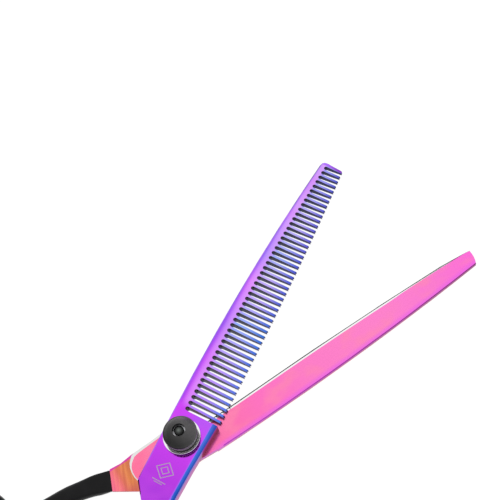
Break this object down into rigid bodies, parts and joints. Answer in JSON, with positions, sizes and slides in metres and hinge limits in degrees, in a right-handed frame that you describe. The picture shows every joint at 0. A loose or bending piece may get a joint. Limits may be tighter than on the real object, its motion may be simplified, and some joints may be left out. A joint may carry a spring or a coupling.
{
  "type": "thinning shears",
  "caption": "Hairdresser's thinning shears lying part open: toothed comb blade over a solid cutting blade, knob-adjusted pivot, ringed black handles and a curved finger rest.",
  "frame": {"origin": "on the pivot axis, at the underside of the pivot screw's head", "axes": "+X from the pivot towards the tips, halfway between the two halves as modelled; +Z along the pivot axis, from the screw's head to the tension knob"},
  "size_m": [0.2065, 0.1033, 0.0153],
  "materials": {
    "titanium_pink": "hot pink interference coating on polished steel, glossy",
    "titanium_violet": "violet interference coating on polished steel, blue on the bevels, glossy",
    "satin_black": "satin black coating on cast steel",
    "knob_black": "black anodised, turned",
    "polished_steel": "bright polished",
    "turned_steel": "turned",
    "slip_polymer": "matt",
    "bush_bronze": "turned",
    "soft_rubber": "matt moulded"
  },
  "bodies": {
    "cutting_half": {"cutting_blade": "titanium_pink", "finger_handle": "satin_black", "finger_ring_insert": "soft_rubber", "finger_rest": "satin_black", "finger_rest_washer": "soft_rubber", "pivot_screw": "turned_steel", "thrust_washer": "slip_polymer", "pressure_washer": "polished_steel", "disc_spring": "turned_steel", "end_stop": "knob_black"},
    "comb_half": {"comb_blade": "titanium_violet", "thumb_handle": "satin_black", "thumb_ring_insert": "soft_rubber", "bumper": "soft_rubber", "bumper_stud": "turned_steel", "pivot_bush": "bush_bronze", "slip_washer": "slip_polymer"},
    "click_carrier": {"click_plate": "turned_steel"},
    "knob": {"tension_knob": "knob_black", "tension_nut": "turned_steel"}
  },
  "joints": [
    {"name": "blade_pivot", "type": "hinge", "parent": "cutting_half", "child": "comb_half", "pos_m": [0, 0, 0.005], "axis": [0, 0, 1], "range_deg": [-29.75, 50]},
    {"name": "tension_travel", "type": "slide", "parent": "cutting_half", "child": "click_carrier", "axis": [0, 0, 1], "range_m": [-0.000125, 0.000375], "deforming": ["disc_spring"]},
    {"name": "knob_turn", "type": "hinge", "parent": "click_carrier", "child": "knob", "pos_m": [0, 0, 0.01], "axis": [0, 0, 1], "range_deg": [-90, 270]}
  ],
  "couplings": [
    {"joint": "knob_turn", "follows": "tension_travel", "rad_per_m": 12566}
  ]
}
